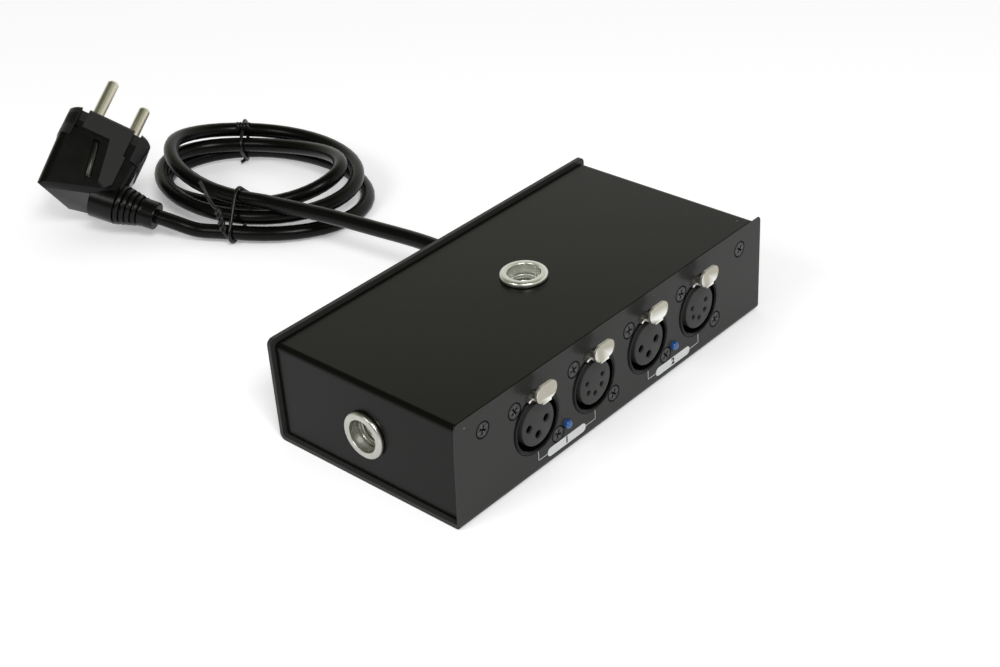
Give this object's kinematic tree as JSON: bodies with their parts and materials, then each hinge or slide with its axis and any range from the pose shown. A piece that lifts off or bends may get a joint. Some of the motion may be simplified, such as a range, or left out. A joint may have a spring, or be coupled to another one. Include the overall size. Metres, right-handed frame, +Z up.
{
  "type": "dmx splitter",
  "caption": "Small sheet metal lighting data splitter with latching round output sockets in front, inputs behind, threaded inserts for a clamp, and a coiled mains lead with an angled plug.",
  "frame": {"origin": "middle of the underside of the case, latch tabs and cord bush included", "axes": "+X along the front panel to its right end, +Y from the front panel to the rear, +Z up"},
  "size_m": [0.1603, 0.2819, 0.053],
  "materials": {
    "case_paint": "fine stippled black paint, satin",
    "black_steel": "blackened steel",
    "zinc": "dull zinc plate",
    "black_shell": "satin black coated die casting",
    "insert_plastic": "fine matt moulding",
    "latch_metal": "satin nickel plate",
    "blue_lens": "clear blue moulding",
    "bush_plastic": "matt nylon",
    "circuit_board": "green solder mask",
    "transformer_steel": "varnished steel laminations",
    "ribbon_plastic": "grey flat cable",
    "cord_rubber": "smooth black sheath with a soft shine",
    "tie_plastic": "plastic coated wire",
    "plug_rubber": "satin moulding",
    "print_ink": "white screen print",
    "nickel_brass": "nickel plated brass"
  },
  "bodies": {
    "case": {"chassis_tray": "case_paint", "cover": "case_paint", "cover_screw_front_left": "black_steel", "cover_screw_front_right": "black_steel", "cover_screw_rear_left": "black_steel", "cover_screw_rear_right": "black_steel", "rivet_nut_top": "zinc", "rivet_nut_side": "zinc", "socket_1_housing": "black_shell", "socket_1_insert": "insert_plastic", "socket_1_screw_upper": "black_steel", "socket_1_screw_lower": "black_steel", "socket_2_housing": "black_shell", "socket_2_insert": "insert_plastic", "socket_2_screw_upper": "black_steel", "socket_2_screw_lower": "black_steel", "socket_3_housing": "black_shell", "socket_3_insert": "insert_plastic", "socket_3_screw_upper": "black_steel", "socket_3_screw_lower": "black_steel", "socket_4_housing": "black_shell", "socket_4_insert": "insert_plastic", "socket_4_screw_upper": "black_steel", "socket_4_screw_lower": "black_steel", "input_5pin_housing": "black_shell", "input_5pin_contacts": "insert_plastic", "input_5pin_screw_upper": "black_steel", "input_5pin_screw_lower": "black_steel", "input_3pin_housing": "black_shell", "input_3pin_contacts": "insert_plastic", "input_3pin_screw_upper": "black_steel", "input_3pin_screw_lower": "black_steel", "lamp_1": "blue_lens", "lamp_2": "blue_lens", "cord_bush": "bush_plastic", "output_board": "circuit_board", "input_board": "circuit_board", "power_board": "circuit_board", "transformer": "transformer_steel", "ribbon_cable": "ribbon_plastic", "cord_lead": "cord_rubber", "cord_coil": "cord_rubber", "cord_tail": "cord_rubber", "tie_front": "tie_plastic", "tie_rear": "tie_plastic", "plug_body": "plug_rubber", "plug_pin_upper": "nickel_brass", "plug_pin_lower": "nickel_brass", "plug_earth_clip_near": "nickel_brass", "plug_earth_clip_far": "nickel_brass"},
    "latch_1": {"socket_1_latch": "latch_metal"},
    "latch_2": {"socket_2_latch": "latch_metal"},
    "latch_3": {"socket_3_latch": "latch_metal"},
    "latch_4": {"socket_4_latch": "latch_metal"}
  },
  "joints": [
    {"name": "latch_1_press", "type": "hinge", "parent": "case", "child": "latch_1", "pos_m": [-0.0429, -0.0309, 0.0291], "axis": [-1, 0, 0], "range_deg": [0, 6], "stiffness_Nm_per_rad": 0.02, "springref_deg": -5.73},
    {"name": "latch_2_press", "type": "hinge", "parent": "case", "child": "latch_2", "pos_m": [-0.0143, -0.0309, 0.0291], "axis": [-1, 0, 0], "range_deg": [0, 6], "stiffness_Nm_per_rad": 0.02, "springref_deg": -5.73},
    {"name": "latch_3_press", "type": "hinge", "parent": "case", "child": "latch_3", "pos_m": [0.0143, -0.0309, 0.0291], "axis": [-1, 0, 0], "range_deg": [0, 6], "stiffness_Nm_per_rad": 0.02, "springref_deg": -5.73},
    {"name": "latch_4_press", "type": "hinge", "parent": "case", "child": "latch_4", "pos_m": [0.0429, -0.0309, 0.0291], "axis": [-1, 0, 0], "range_deg": [0, 6], "stiffness_Nm_per_rad": 0.02, "springref_deg": -5.73}
  ]
}
